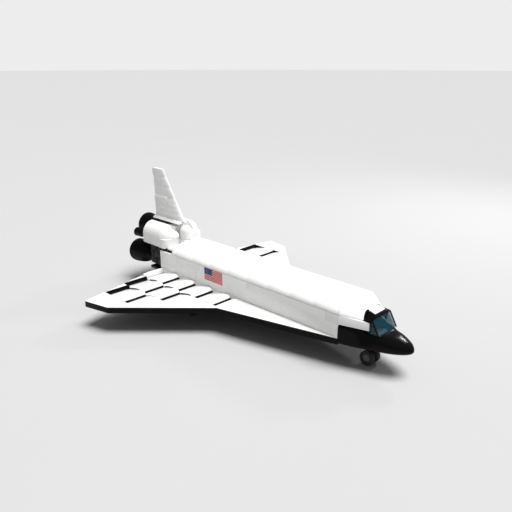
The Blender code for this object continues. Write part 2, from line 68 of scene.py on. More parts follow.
def loft(bm, rings, edge=0.0, look=0, least=25):
    # a skin over rings of points, with flat ends; edges that turn by more than least degrees are rounded
    rows = [[bm.verts.new(p) for p in ring] for ring in rings]
    corners = [rows[0], rows[-1]]
    for a, b in zip(rows, rows[1:]):
        corners += zip(a, a[1:] + a[:1], b[1:] + b[:1], b)
    faces = joinFaces(bm, corners, look)
    if edge > 0:
        bm.normal_update()
        edges = dict.fromkeys(e for f in faces for e in f.edges)
        sharp = [e for e in edges if len(e.link_faces) == 2 and e.calc_face_angle(0) > radians(least)]
        bmesh.ops.bevel(bm, geom=sharp, offset=edge, segments=2, profile=0.6, affect="EDGES", clamp_overlap=True)


def prism(bm, outline, low, high, axis="Z", edge=0.2, look=0, least=25):
    loft(bm, [[mapped(axis, u, v, w) for u, v in outline] for w in (low, high)], edge, look, least)


def block(bm, xs, ys, zs, edge=0.2, look=0):
    (x0, x1), (y0, y1), (z0, z1) = (sorted(v) for v in (xs, ys, zs))
    prism(bm, [(x0, y0), (x1, y0), (x1, y1), (x0, y1)], z0, z1, "Z", edge, look)


def turned(bm, profile, centre, axis="X", steps=48, look=0):
    # profile pairs are place along the axis and radius; a radius of zero closes on the axis
    rings = []
    for along, radius in profile:
        turns = [2 * pi * k / steps for k in range(steps if radius > 0 else 1)]
        points = [mapped(axis, radius * cos(t), radius * sin(t), along) for t in turns]
        rings.append([bm.verts.new([c + p for c, p in zip(centre, point)]) for point in points])
    corners = []
    for a, b in zip(rings, rings[1:]):
        for k in range(steps):
            j = (k + 1) % steps
            four = (a[k % len(a)], a[j % len(a)], b[j % len(b)], b[k % len(b)])
            corners.append(tuple(dict.fromkeys(four)))
    joinFaces(bm, [c for c in corners if len(c) > 2], look)


def objectFrom(name, bm, folder):
    mesh = bpy.data.meshes.new(name)
    bm.to_mesh(mesh)
    bm.free()
    obj = bpy.data.objects.new(name, mesh)
    folder.objects.link(obj)
    return obj


def crisp(mesh):
    # smooth shading that keeps an edge wherever two faces turn by more than 21 degrees
    mesh.shade_smooth()
    mesh.set_sharp_from_angle(angle=radians(21))


slotFinish = {"white_plastic": "whitePlastic", "black_plastic": "blackPlastic", "grey_plastic": "greyPlastic", "tyre": "tyreRubber"}


def put(name, bm, stands=(), slotName="white_plastic", finish=None, body="root", side=1):
    # pieces are modelled on the port side; the starboard ones are flipped
    if side < 0:
        bmesh.ops.scale(bm, vec=(1, -1, 1), verts=bm.verts)
        bmesh.ops.reverse_faces(bm, faces=bm.faces)
    bm.transform(toModel)
    obj = objectFrom(name, bm, pieceFolder)
    crisp(obj.data)
    for look in finish or [slotFinish[slotName]]:
        obj.data.materials.append(looks[look])
    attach(obj, body)
    if stands:
        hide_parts(*stands)
    return obj


def carved(obj, *tools):
    # cuts the tool meshes out of a piece
    for bm in tools:
        bm.transform(toModel)
        cutter = objectFrom("cutter", bm, bpy.context.scene.collection)
        change = obj.modifiers.new("carve", "BOOLEAN")
        change.operation, change.solver, change.object = "DIFFERENCE", "EXACT", cutter
        bpy.context.view_layer.update()
        result = bpy.data.meshes.new_from_object(obj.evaluated_get(bpy.context.evaluated_depsgraph_get()))
        obj.modifiers.clear()
        obj.data = result
        bpy.data.objects.remove(cutter, do_unlink=True)
    crisp(obj.data)


print("helpers ready")


# shared surface effects, as node groups
class Wires:
    # short hand for adding nodes and joining their sockets
    def __init__(self, tree):
        self.tree = tree
        self.column = 0

    def fill(self, socket, value):
        if isinstance(value, bpy.types.NodeSocket):
            self.tree.links.new(value, socket)
        else:
            socket.default_value = value

    def add(self, kind, values=None, **settings):
        node = self.tree.nodes.new(kind)
        node.location = (self.column * 190, -(self.column % 3) * 160)
        self.column += 1
        for key, value in settings.items():
            setattr(node, key, value)
        for key, value in (values or {}).items():
            self.fill(node.inputs[key], value)
        return node

    def math(self, operation, a, b=0.0, clamp=False):
        return self.add("ShaderNodeMath", {0: a, 1: b}, operation=operation, use_clamp=clamp).outputs[0]

    def span(self, value, low, high, toLow=0.0, toHigh=1.0):
        values = {"Value": value, "From Min": low, "From Max": high, "To Min": toLow, "To Max": toHigh}
        return self.add("ShaderNodeMapRange", values, clamp=True).outputs["Result"]

    def blend(self, factor, a, b):
        return self.add("ShaderNodeMix", {0: factor, 6: a, 7: b}, data_type="RGBA").outputs[2]

    def noise(self, vector, scale, detail=3.0, rough=0.55):
        values = {"Vector": vector, "Scale": scale, "Detail": detail, "Roughness": rough}
        return self.add("ShaderNodeTexNoise", values).outputs["Fac"]


def newGroup(name, values, *results):
    # takes a place and the named values; gives masks, tones or heights
    group = bpy.data.node_groups.new(name, "ShaderNodeTree")
    group.interface.new_socket(name="Vector", in_out="INPUT", socket_type="NodeSocketVector")
    for label, start in values.items():
        kind = "NodeSocketVector" if isinstance(start, tuple) else "NodeSocketFloat"
        group.interface.new_socket(name=label, in_out="INPUT", socket_type=kind).default_value = start
    for label in results:
        group.interface.new_socket(name=label, in_out="OUTPUT", socket_type="NodeSocketFloat")
    w = Wires(group)
    return group, w, w.add("NodeGroupInput").outputs, w.add("NodeGroupOutput").inputs


def makeMouldGrain():
    # the faint ripple and fine grain of moulded plastic
    group, w, given, out = newGroup("mouldGrain", {"Ripple Scale": 260.0, "Grain Scale": 2600.0}, "Height", "Tone")
    ripple = w.noise(given["Vector"], given["Ripple Scale"], 2.0)
    grain = w.noise(given["Vector"], given["Grain Scale"], 2.0)
    w.fill(out["Height"], w.math("ADD", w.math("MULTIPLY", ripple, 0.8), w.math("MULTIPLY", grain, 0.2)))
    w.fill(out["Tone"], w.noise(given["Vector"], w.math("MULTIPLY", given["Ripple Scale"], 0.16), 4.0))
    return group


def makeEdgeWear():
    # rubbed edges, partly real wear and partly a painted highlight that lightens every edge: where a softened normal
    # leaves the face's own, broken up by noise
    group, w, given, out = newGroup("edgeWear", {"Reach": 0.0004, "Break Up": 420.0, "Amount": 1.0}, "Mask")
    soft = w.add("ShaderNodeBevel", {"Radius": given["Reach"]}, samples=4).outputs[0]
    face = w.add("ShaderNodeNewGeometry").outputs["Normal"]
    along = w.add("ShaderNodeVectorMath", {0: soft, 1: face}, operation="DOT_PRODUCT").outputs["Value"]
    edge = w.span(w.math("SUBTRACT", 1.0, along), 0.01, 0.2)
    broken = w.span(w.noise(given["Vector"], given["Break Up"], 4.0), 0.3, 0.62)
    w.fill(out["Mask"], w.math("MULTIPLY", w.math("MULTIPLY", edge, broken), given["Amount"], True))
    return group


def makeSettledDust():
    # thin dust that lies on faces that look up
    group, w, given, out = newGroup("settledDust", {"Scale": 90.0, "Amount": 0.2}, "Mask")
    up = w.add("ShaderNodeSeparateXYZ", {0: w.add("ShaderNodeNewGeometry").outputs["Normal"]}).outputs["Z"]
    lying = w.span(up, 0.35, 0.95)
    cloud = w.span(w.noise(given["Vector"], given["Scale"], 6.0, 0.65), 0.38, 0.75)
    speck = w.span(w.noise(given["Vector"], w.math("MULTIPLY", given["Scale"], 22.0), 1.0), 0.62, 0.7)
    both = w.math("ADD", w.math("MULTIPLY", cloud, 0.6), w.math("MULTIPLY", speck, 0.7))
    w.fill(out["Mask"], w.math("MULTIPLY", w.math("MULTIPLY", lying, both), given["Amount"], True))
    return group


def makeHandlingMarks():
    # hairline scratches in two directions
    group, w, given, out = newGroup("handlingMarks", {"Scale": 55.0, "Amount": 0.5}, "Mask")
    lines = []
    for turn, stretch in ((0.5, (1.0, 9.0, 3.0)), (2.0, (7.0, 1.0, 4.0))):
        values = {"Vector": given["Vector"], "Rotation": (turn, turn * 0.6, turn), "Scale": stretch}
        spun = w.add("ShaderNodeMapping", values).outputs[0]
        values = {"Vector": spun, "Scale": given["Scale"]}
        cells = w.add("ShaderNodeTexVoronoi", values, feature="DISTANCE_TO_EDGE").outputs["Distance"]
        thin = w.span(cells, 0.0, 0.012, 1.0, 0.0)
        here = w.span(w.noise(spun, w.math("MULTIPLY", given["Scale"], 0.3), 2.0), 0.52, 0.62)
        lines.append(w.math("MULTIPLY", thin, here))
    w.fill(out["Mask"], w.math("MULTIPLY", w.math("MAXIMUM", lines[0], lines[1]), given["Amount"], True))
    return group


def makeBrickTone():
    # each brick a shade lighter or darker than the next
    group, w, given, out = newGroup("brickTone", {"Brick Size": (0.032, 0.032, 0.0096)}, "Tone")
    cell = w.add("ShaderNodeVectorMath", {0: given["Vector"], 1: given["Brick Size"]}, operation="DIVIDE").outputs[0]
    whole = w.add("ShaderNodeVectorMath", {0: cell}, operation="FLOOR").outputs[0]
    w.fill(out["Tone"], w.add("ShaderNodeTexWhiteNoise", {"Vector": whole}, noise_dimensions="3D").outputs["Value"])
    return group


effects = {make.__name__[4:]: make() for make in (makeMouldGrain, makeEdgeWear, makeSettledDust, makeHandlingMarks, makeBrickTone)}
print("surface effects ready:", ", ".join(effects))


# finishes
def effect(wires, name, values):
    return wires.add("ShaderNodeGroup", values, node_tree=effects[name]).outputs


def newMaterial(name):
    made = bpy.data.materials.new(name)
    made.use_nodes = True
    made.node_tree.nodes.clear()
    w = Wires(made.node_tree)
    return made, w, w.add("ShaderNodeTexCoord").outputs["Object"]


def addShader(w, values):
    shader = w.add("ShaderNodeBsdfPrincipled", values).outputs[0]
    w.add("ShaderNodeOutputMaterial", {"Surface": shader})


def plasticFinish(name, recipe):
    made, w, place = newMaterial(name)
    grain = effect(w, "MouldGrain", {"Vector": place, "Ripple Scale": recipe["ripple"], "Grain Scale": recipe["grain"]})
    wear = effect(w, "EdgeWear", {"Vector": place, "Reach": recipe["wearAndHighlightReach"], "Amount": recipe["wear"]})["Mask"]
    dust = effect(w, "SettledDust", {"Vector": place, "Amount": recipe["dust"]})["Mask"]
    marks = effect(w, "HandlingMarks", {"Vector": place, "Amount": recipe["marks"]})["Mask"]
    brick = effect(w, "BrickTone", {"Vector": place})["Tone"]
    light, dark = recipe["colour"], recipe["shade"]
    tone = w.blend(w.span(brick, 0.0, 1.0, 0.0, 0.5), (*light, 1), (*dark, 1))
    tone = w.blend(w.span(grain["Tone"], 0.35, 0.7, 0.0, 0.3), tone, (*dark, 1))
    # edges take the lighter edge colour: partly rubbed wear, partly a painted highlight along the edges
    tone = w.blend(wear, tone, (*recipe["edge"], 1))
    tone = w.blend(dust, tone, (*recipe["dustColour"], 1))
    low, high = recipe["gloss"]
    rough = w.span(grain["Tone"], 0.3, 0.7, low, high)
    rough = w.math("ADD", rough, w.math("MULTIPLY", marks, 0.25))
    rough = w.math("ADD", rough, w.math("MULTIPLY", dust, 0.5), True)
    height = w.math("SUBTRACT", grain["Height"], w.math("MULTIPLY", marks, 0.6))
    bump = w.add("ShaderNodeBump", {"Height": height, "Strength": recipe["bump"], "Distance": recipe["depth"]}).outputs[0]
    addShader(w, {"Base Color": tone, "Roughness": rough, "Normal": bump, "IOR": recipe["ior"],
                  "Specular IOR Level": recipe["shine"], "Sheen Weight": recipe["sheen"]})
    return made


# edge is the lighter colour of rubbed edges, which also serves as a painted highlight along them; the finishes below
# use it the same way
plainPlastic = {
    "colour": (0.82, 0.82, 0.815), "shade": (0.79, 0.79, 0.78), "edge": (0.90, 0.90, 0.90), "dustColour": (0.72, 0.71, 0.69),
    "gloss": (0.24, 0.32), "ripple": 210.0, "grain": 2600.0, "bump": 0.18, "depth": 0.00006,
    "wear": 0.7, "wearAndHighlightReach": 0.0003, "dust": 0.05, "marks": 0.25, "ior": 1.5, "shine": 0.4, "sheen": 0.0,
}
finishes = {
    "whitePlastic": {},
    "blackPlastic": {"colour": (0.0018, 0.0018, 0.0019), "shade": (0.003, 0.003, 0.0033), "edge": (0.011, 0.011, 0.012),
                     "dustColour": (0.02, 0.02, 0.019), "gloss": (0.15, 0.22), "dust": 0.02, "wear": 0.3, "shine": 0.1},
    "greyPlastic": {"colour": (0.30, 0.315, 0.325), "shade": (0.25, 0.265, 0.275), "edge": (0.42, 0.43, 0.44),
                    "gloss": (0.3, 0.42)},
    "darkGreyPlastic": {"colour": (0.15, 0.152, 0.155), "shade": (0.11, 0.112, 0.115), "edge": (0.24, 0.24, 0.245),
                        "gloss": (0.3, 0.42)},
    "tyreRubber": {"colour": (0.024, 0.024, 0.025), "shade": (0.016, 0.016, 0.017), "edge": (0.055, 0.055, 0.056),
                   "gloss": (0.55, 0.72), "grain": 3800.0, "bump": 0.5, "sheen": 0.12, "dust": 0.3,
                   "dustColour": (0.12, 0.115, 0.105), "shine": 0.35},
    "printRed": {"colour": (0.60, 0.003, 0.005), "shade": (0.52, 0.002, 0.004), "edge": (0.6, 0.05, 0.05), "wear": 0.2,
                 "gloss": (0.3, 0.4)},
    "printBlue": {"colour": (0.002, 0.003, 0.13), "shade": (0.002, 0.002, 0.10), "edge": (0.04, 0.05, 0.2), "wear": 0.2,
                  "gloss": (0.3, 0.4)},
    "printWhite": {"colour": (0.62, 0.64, 0.64), "shade": (0.58, 0.60, 0.60), "gloss": (0.3, 0.4)},
    "printOrange": {"colour": (0.75, 0.22, 0.03), "shade": (0.66, 0.18, 0.02), "edge": (0.8, 0.4, 0.2), "gloss": (0.3, 0.4)},
}
looks = {name: plasticFinish(name, {**plainPlastic, **change}) for name, change in finishes.items()}


glassChoices = {"tint": (0.007, 0.068, 0.088), "shade": (0.010, 0.052, 0.068), "cover": (0.34, 0.46), "gloss": (0.05, 0.1)}


def makeGlass():
    # deep teal glass: its grain lets a little more or less of the cabin show
    made, w, place = newMaterial("tintedGlass")
    grain = effect(w, "MouldGrain", {"Vector": place, "Ripple Scale": 160.0, "Grain Scale": 1800.0})
    marks = effect(w, "HandlingMarks", {"Vector": place, "Scale": 90.0, "Amount": 0.4})["Mask"]
    tint = w.blend(grain["Tone"], (*glassChoices["tint"], 1), (*glassChoices["shade"], 1))
    rough = w.math("ADD", w.span(grain["Tone"], 0.3, 0.7, *glassChoices["gloss"]), w.math("MULTIPLY", marks, 0.2), True)
    cover = w.math("ADD", w.span(grain["Tone"], 0.3, 0.7, *glassChoices["cover"]), w.math("MULTIPLY", marks, 0.1), True)
    bump = w.add("ShaderNodeBump", {"Height": grain["Height"], "Strength": 0.12, "Distance": 0.00004}).outputs[0]
    addShader(w, {"Base Color": tint, "Roughness": rough, "Normal": bump, "IOR": 1.45, "Specular IOR Level": 0.3, "Alpha": cover})
    return made


glass = makeGlass()
print("finishes ready:", len(looks) + 1)


# fuselage
hull = {
    "half": 32.0, "shoulder": 25.6, "crown": 38.4, "flat": 4.0, "lap": 0.3, "doorThick": 2.8, "wallThick": 8.0, "edge": 0.12,
    # rows of the keel: foot, top, joints between its plates
    "keel": ((-6.8, -3.5, (-32, 32, 96, 160, 224, 256)), (-3.4, -0.3, (-32, 64, 128, 192, 256))),
}


def roofArc(inset=0.0, steps=14):
    wide = hull["half"] - hull["flat"] - inset
    high = hull["crown"] - hull["shoulder"] - inset
    return [(hull["flat"] + wide * cos(t), hull["shoulder"] + high * sin(t)) for t in quarter(steps)]


def buildWalls():
    # outlines of the wall's bricks, as seams in the photograph part them
    bricks = (
        ((-32, 0), (0, 0), (0, 9.6), (-32, 9.6)),
        ((-32, 9.6), (0, 9.6), (0, 25.6), (-32, 25.6)),
        ((0, 0), (192, 0), (192, 16), (128, 16), (128, 25.6), (0, 25.6)),
        ((192, 0), (256, 0), (256, 16), (240, 16), (240, 25.6), (128, 25.6), (128, 16), (192, 16)),
        ((240, 16), (256, 16), (256, 25.6), (240, 25.6)),
    )
    for sideName, side in sides:
        bm = bmesh.new()
        for outline in bricks:
            cx = sum(x for x, _ in outline) / len(outline)
            cz = sum(z for _, z in outline) / len(outline)
            shrunk = [(x + (0.04 if x < cx else -0.04), z + (0.04 if z < cz else -0.04)) for x, z in outline]
            prism(bm, shrunk, hull["half"] - hull["wallThick"], hull["half"], "Y", hull["edge"])
        put("sideWall" + sideName.title(), bm, ["side_wall_" + sideName], side=side)


def buildKeel():
    bm = bmesh.new()
    for low, high, cuts in hull["keel"]:
        for a, b in zip(cuts, cuts[1:]):
            block(bm, (a + 0.04, b - 0.04), (-hull["half"], hull["half"]), (low, high))
    put("keelPlates", bm, ["keel"], "black_plastic")
    bm = bmesh.new()
    for k in range(8):
        x0 = 0.1 + k * 32
        x1 = min(x0 + 31.8, 247.6)
        for y0, y1 in ((-23.7, -8.05), (-7.95, 7.95), (8.05, 23.7)):
            block(bm, (x0, x1), (y0, y1), (0, 3.2), 0.25)
    put("bayFloorTiles", bm, ["bay_floor"], "grey_plastic")


def buildBulkheads():
    inner = roofArc(hull["doorThick"] + 0.6)
    half = 23.7
    arch = [(half, 0.0), (half, 25.6)] + [(y, z) for y, z in inner if y < half]
    outline = arch + [(-y, z) for y, z in reversed(arch)]
    for name, x0, x1, face, way in (("front", 248.0, 256.0, 248.0, -1), ("rear", -8.0, -0.3, -0.3, 1)):
        bm = bmesh.new()
        prism(bm, outline, x0, x1, "X", 0.25)
        ring = [(0, 5.2), (0.9 * way, 5.0), (0.9 * way, 4.0), (0.3 * way, 3.8), (0.3 * way, 0)]
        turned(bm, [(-0.2 * way, 0), (-0.2 * way, 5.2)] + ring, (face, 0, 16), "X", 40)
        for z in (8.0, 26.0):
            block(bm, (face - 0.2 * way, face + 0.8 * way), (-18, 18), (z - 0.8, z + 0.8))
        put("bulkhead" + name.title(), bm, ["bulkhead_" + name])


def buildBayDoors():
    lap, thick = hull["lap"], hull["doorThick"]

    def shell(outside, inside, middle=()):
        outer, inner = ([(y, z + lap) for y, z in roofArc(inset)] for inset in (outside, inside))
        return [*outer, *middle, *reversed(inner)]

    outline = shell(0.0, thick, ((0.15, 38.7), (0.15, 35.9)))
    rib = shell(thick - 0.3, thick + 0.9)
    ends = [-7.7] + [32.0 * k for k in range(9)]
    ends[-1] = 255.7
    for sideName, side in sides:
        bm = bmesh.new()
        for a, b in zip(ends, ends[1:]):
            prism(bm, outline, a + (0.02 if a > -7 else 0), b - (0.02 if b < 255 else 0), "X", hull["edge"])
            if a >= 0 and b < 250:
                prism(bm, rib, b - 4, b + 4, "X")
        put("bayDoor" + sideName.title(), bm, ["bay_door_" + sideName], body="bay_door_" + sideName, side=side)


buildWalls()
buildKeel()
buildBulkheads()
buildBayDoors()
print("fuselage built")


# flag panels on the side walls
flag = {
    "rear": 56.0, "front": 88.0, "foot": 9.8, "top": 25.2, "proud": 0.12, "cantonWide": 0.44,
    "stripes": 13, "redShare": 0.85, "starRadius": 0.2, "starInner": 0.42,
}


def starOutline(cx, cz, radius):
    points = []
    for k in range(10):
        reach = radius if k % 2 == 0 else radius * flag["starInner"]
        turn = pi / 2 + k * pi / 5
        points.append((cx + reach * cos(turn), cz + reach * sin(turn)))
    return points


def buildFlags():
    high = (flag["top"] - flag["foot"]) / flag["stripes"]
    wide = flag["front"] - flag["rear"]
    for sideName, side in sides:
        def across(part):
            # the canton stands at the left for whoever looks at the wall
            return flag["front"] - part * wide if side > 0 else flag["rear"] + part * wide
        bm = bmesh.new()
        y0, y1 = hull["half"] - 0.1, hull["half"] + flag["proud"]
        for k in range(flag["stripes"]):
            red = k % 2 == 0
            z0, z1 = flag["top"] - (k + 1) * high, flag["top"] - k * high
            if red and k:
                z1 += high * (flag["redShare"] - 0.5)
            start = flag["cantonWide"] if k < 7 else 0.0
            block(bm, (across(start), across(1.0)), (y0, y1 + 0.01 * red), (z0, z1), 0.0, k % 2)
        block(bm, (across(0.0), across(flag["cantonWide"])), (y0, y1), (flag["top"] - 7 * high, flag["top"]), 0.0, 2)
        for row in range(9):
            for col in range(6 if row % 2 == 0 else 5):
                part = (col * 2 + 1 + row % 2) / 12 * flag["cantonWide"]
                z = flag["top"] - (row + 1) / 10 * 7 * high
                prism(bm, starOutline(across(part), z, flag["starRadius"]), y1 - 0.02, y1 + 0.04, "Y", 0.0, 1)
        put("flagPanel" + sideName.title(), bm, finish=("printRed", "printWhite", "printBlue"), side=side)


buildFlags()
print("flag panels built")


# nose, cheeks and the white slope over the cockpit
noseShape = {
    # station, half width at the foot, half width at the top, underside, top, squareness
    "sections": (
        (256.3, 32.0, 32.0, -6.8, 15.7, 9.0), (270, 29.0, 24.8, -6.8, 13.8, 8.0), (282.6, 25.0, 17.2, -7.0, 11.9, 6.0),
        (290.5, 22.0, 17.2, -7.4, 10.6, 4.4), (296, 20.4, 16.2, -7.8, 9.0, 3.4), (304, 17.8, 15.2, -8.0, 8.0, 2.6),
        (311, 14.2, 13.0, -7.6, 6.2, 2.2), (317.2, 9.8, 9.6, -6.6, 4.0, 2.0),
        (321.6, 4.6, 4.6, -4.8, 0.8, 2.0), (323.2, 1.2, 1.2, -3.0, -1.2, 2.0),
    ),
    "round": 72, "between": 5,
    # boxes cut out for the cabin and for the canopy's foot, as x, y and z spans
    "cabin": ((260, 292.5), (-14.5, 14.5), (0, 30)), "rebate": ((280.0, 294.8), (-30, 30), (9.3, 30)),
}


def smoothRows(rows, between):
    # curve through the table's rows, so that the skin has no flats
    out = []
    for n in range(len(rows) - 1):
        a, b, c, d = rows[max(n - 1, 0)], rows[n], rows[n + 1], rows[min(n + 2, len(rows) - 1)]
        for k in range(between):
            t = k / between
            row = []
            for col in range(len(b)):
                into = (c[col] - a[col]) / max(c[0] - a[0], 1e-6) * (c[0] - b[0])
                away = (d[col] - b[col]) / max(d[0] - b[0], 1e-6) * (c[0] - b[0])
                h = (2 * t ** 3 - 3 * t ** 2 + 1, t ** 3 - 2 * t ** 2 + t, -2 * t ** 3 + 3 * t ** 2, t ** 3 - t ** 2)
                row.append(h[0] * b[col] + h[1] * into + h[2] * c[col] + h[3] * away)
            out.append(tuple(row))
    return out + [rows[-1]]


def noseRing(x, foot, shoulder, low, high, square):
    points = []
    for k in range(noseShape["round"]):
        turn = 2 * pi * (k + 0.5) / noseShape["round"]
        c, s = cos(turn), sin(turn)
        rise = abs(s) ** (2 / square) * (1 if s > 0 else -1)
        half = foot + (shoulder - foot) * (rise + 1) / 2
        points.append((x, half * abs(c) ** (2 / square) * (1 if c > 0 else -1), (low + high) / 2 + (high - low) / 2 * rise))
    return points


def buildNose():
    rows = noseShape["sections"]
    bm, cabin, rebate = bmesh.new(), bmesh.new(), bmesh.new()
    loft(bm, [noseRing(*row) for row in (*rows[:2], *smoothRows(rows[2:], noseShape["between"]))])
    block(cabin, *noseShape["cabin"], 0)
    block(rebate, *noseShape["rebate"], 0)
    carved(put("noseShell", bm, ["nose"], "black_plastic"), cabin, rebate)


def buildCheeks():
    for sideName, side in sides:
        bm = bmesh.new()
        rings = []
        for x, outer, inner, low, high in ((256.3, 32.0, 28.0, 16.0, 25.6), (282.6, 17.2, 16.3, 12.2, 20.8)):
            rings.append([(x, inner, low), (x, outer, low), (x, outer, high), (x, inner, high)])
        loft(bm, rings, 0.15)
        put("cheek" + sideName.title(), bm, ["cheek_" + sideName], side=side)


slope = {
    "rear": 256.3, "long": 20.0, "crease": 11.5, "crown": 30.25, "skin": 0.12, "lidFront": 276.42, "lidThick": 0.9,
    # side offset and height of its end, from the shoulder up to the crease
    "end": ((18.7, 22.2), (17.9, 23.6), (16.9, 24.5), (15.6, 25.2), (14.2, 26.0), (12.6, 27.0),
            (11.2, 27.9), (9.8, 29.0), (8.4, 30.2)),
    # rear rim of the round black plate at either side of its end: station, side offset
    "lid": ((275.9, 8.8), (275.0, 9.2), (274.4, 10.3), (274.2, 11.6), (274.35, 13.0), (274.8, 14.5), (275.4, 16.0), (276.0, 17.5)),
}


def closedRing(x, half):
    return [(x, y, z) for y, z in half] + [(x, -y, z) for y, z in reversed(half)]


def buildRoofFront():
    # a middle part between the two creases and a curved part on either side
    wide, high = hull["half"] - hull["flat"], hull["crown"] - hull["shoulder"]
    foot, crown, skin = hull["shoulder"] + hull["lap"], hull["crown"] + hull["lap"], slope["skin"]
    turn = acos((slope["crease"] - hull["flat"]) / wide) / 8
    rear = [(hull["flat"] + wide * cos(turn * k), foot + high * sin(turn * k)) for k in range(9)]

    def rowAt(t, out=0.0):
        return [(a[0] + (b[0] - a[0]) * t + out, a[1] + (b[1] - a[1]) * t) for a, b in zip(rear, slope["end"])]

    bm = bmesh.new()
    rings, strips = [], []
    for k in range(11):
        x = slope["rear"] + slope["long"] * k / 10
        row = rowAt(k / 10)
        crease, low = row[-1], row[0][1]
        rings.append(closedRing(x, [(crease[0], low), crease, (4.0, crown + (slope["crown"] - crown) * k / 10)]))
        strips.append([(x, y + skin, z) for y, z in row] + [(x, crease[0] + skin, low)])
    loft(bm, rings, 0.16, least=28)
    loft(bm, strips, 0.16, least=50)
    loft(bm, [[(x, -y, z) for x, y, z in ring] for ring in strips], 0.16, least=50)
    for side in (-1, 1):
        lid = []
        for x, y in slope["lid"]:
            top = []
            for at in (x, slope["lidFront"]):
                row = rowAt((at - slope["rear"]) / slope["long"], skin)
                for (y0, z0), (y1, z1) in zip(row, row[1:]):
                    if y1 <= y < y0:
                        top.append((at, y * side, z0 + (z1 - z0) * (y0 - y) / (y0 - y1) + 0.5))
            (a, b, c), (x1, _, z1) = top
            lid.append(top + [(x1, b, max(22.3, z1 - 5.5)), (a, b, c - slope["lidThick"])])
        loft(bm, lid, look=1)
    put("roofSlope", bm, ["roof_front"], finish=("whitePlastic", "blackPlastic"))


buildNose()
buildCheeks()
buildRoofFront()
print("nose built")


# canopy and cabin
canopy = {
    "axisX": 276.6, "headerFoot": 24.5, "glassBase": 294.3, "glassTop": 286.0, "glassFoot": 9.6, "pillar": 2.4, "capHalf": 8.6,
    "lug": ((15.6, 0), (15.6, 1.7), (17.9, 1.7), (18.1, 1.5), (18.1, 0)), "lugPlace": (279.4, 0, 23.1),
}


def buildCanopy():
    ax, foot = canopy["axisX"], canopy["headerFoot"]
    rear = ((17.6, foot), (16.0, 25.0), (14.4, 25.9), (12.6, 27.0), (9.8, 28.7), (3.0, 29.0))
    middle = ((17.2, foot), (16.2, 24.9), (14.8, 25.6), (12.8, 26.4), (9.8, 27.2), (3.0, 27.3))
    front = ((16.6, foot), (16.2, 24.8), (15.2, 25.0), (13.6, 25.1), (11.0, 25.2), (3.0, 25.3))
    bm = bmesh.new()
    loft(bm, [closedRing(x, s) for x, s in zip((ax + 0.1, 283.3, canopy["glassTop"] + 0.2), (rear, middle, front))], 0.15)
    base, top, wide = canopy["glassBase"], canopy["glassTop"], canopy["pillar"]
    post = [(base - wide, canopy["glassFoot"]), (base, canopy["glassFoot"]), (top - 0.1, foot + 0.2), (top - wide, foot + 0.2)]
    drop = [(ax + 0.3, 22.5), (282.8, 21.1), (283.8, foot + 0.2), (ax + 0.3, foot + 0.2)]
    for side in (-1, 1):
        for outline, reach in ((post, 16.42), (drop, 17.6)):
            prism(bm, outline, side * 16.25, side * reach, "Y", 0.1)
        # hinge lug beside the header
        turned(bm, [(side * y, radius) for y, radius in canopy["lug"]], canopy["lugPlace"], "Y", 32)
    put("canopyFrame", bm, ["canopy_frame"], "black_plastic", body="canopy")
    bm = bmesh.new()
    prism(bm, [(ax + 0.1, 30.2), (ax + 0.1, 29.3), (283.2, 27.6), (283.2, 28.4)], -canopy["capHalf"], canopy["capHalf"], "Y", 0.15)
    put("canopyCap", bm, ["canopy_cap"], body="canopy")
    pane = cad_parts["canopy_glass"]
    pane.data.materials.clear()
    pane.data.materials.append(glass)


cabin = {
    "console": ((278.3, 0.3), (290.3, 0.3), (290.3, 4.8), (287.3, 8.0), (278.3, 4.8)), "consoleHalf": 7.8,
    # station, side offset and colour of the round marks on the console
    "marks": ((281.0, -5.6, 1), (281.0, -3.4, 2), (281.0, 3.4, 3), (281.0, 5.6, 1), (283.6, -5.2, 3), (283.6, 5.2, 2)),
    "seat": ((262, 0.3), (275.5, 0.3), (275.5, 4.2), (274.9, 4.8), (266.9, 4.8), (264.4, 16.0), (263.9, 16.5), (262, 16.5)),
    "seatHalf": 6.8,
}


def buildCabin():
    bm = bmesh.new()
    prism(bm, cabin["console"], -cabin["consoleHalf"], cabin["consoleHalf"], "Y", 0.25)
    for x, y, look in cabin["marks"]:
        z = 4.8 + (x - 278.3) * 3.2 / 9
        turned(bm, [(-0.4, 0), (-0.4, 0.85), (0.45, 0.85), (0.6, 0.7), (0.6, 0)], (x, y, z), "Z", 20, look)
    block(bm, (285.0, 286.0), (-4.5, 4.5), (6.6, 8.6), 0.15, 4)
    put("console", bm, ["console"], "grey_plastic", ("greyPlastic", "printRed", "printBlue", "printOrange", "darkGreyPlastic"))
    bm = bmesh.new()
    prism(bm, cabin["seat"], -cabin["seatHalf"], cabin["seatHalf"], "Y", 0.3)
    for side in (-1, 1):
        block(bm, (266.8, 274.8), (side * 6.7, side * 5.5), (4.7, 7.4), 0.3)
    put("pilotSeat", bm, ["seat"], "grey_plastic")


buildCanopy()
buildCabin()
print("cockpit built")


# wings
wing = {
    "skin": 0.7, "plates": ((-6.8, -3.45), (-3.35, 0.0)), "field": -4.2, "tileLong": 32.0, "tileFoot": -5.2, "edge": 0.16,
    # root y, outer y, rear, first front, tiles, ramp's end
    "rows": ((32.8, 63.9, -27.0, 6.4, 4, 112.5), (64.1, 95.9, -17.2, 14.4, 2, 70.0), (96.1, 128.4, -9.2, 22.4, 1, 41.0)),
    "tile": ((0.0, -4.2), (0.1, -3.2), (0.2, -2.3), (0.3, -1.5), (0.39, -0.8), (0.5, 0.1), (0.6, 0.8),
             (0.7, 1.4), (0.79, 1.8), (0.88, 1.9), (0.95, 1.2), (0.99, 0.1), (1.0, -0.7)),
    # black strips on the outer sides of the tiles: place, front of the row's first tile, spans
    "sideStrips": ((64.0, 6.4, ((-13.1, 4.1), (17.9, 36.0), (47.2, 68.9))), (96.0, 14.4, ((-11.5, 11.2),))),
    "ramp": ((0.0, 0.0), (0.15, 0.23), (0.3, 0.42), (0.45, 0.61), (0.6, 0.76), (0.85, 0.95), (1.0, 1.0)),
}
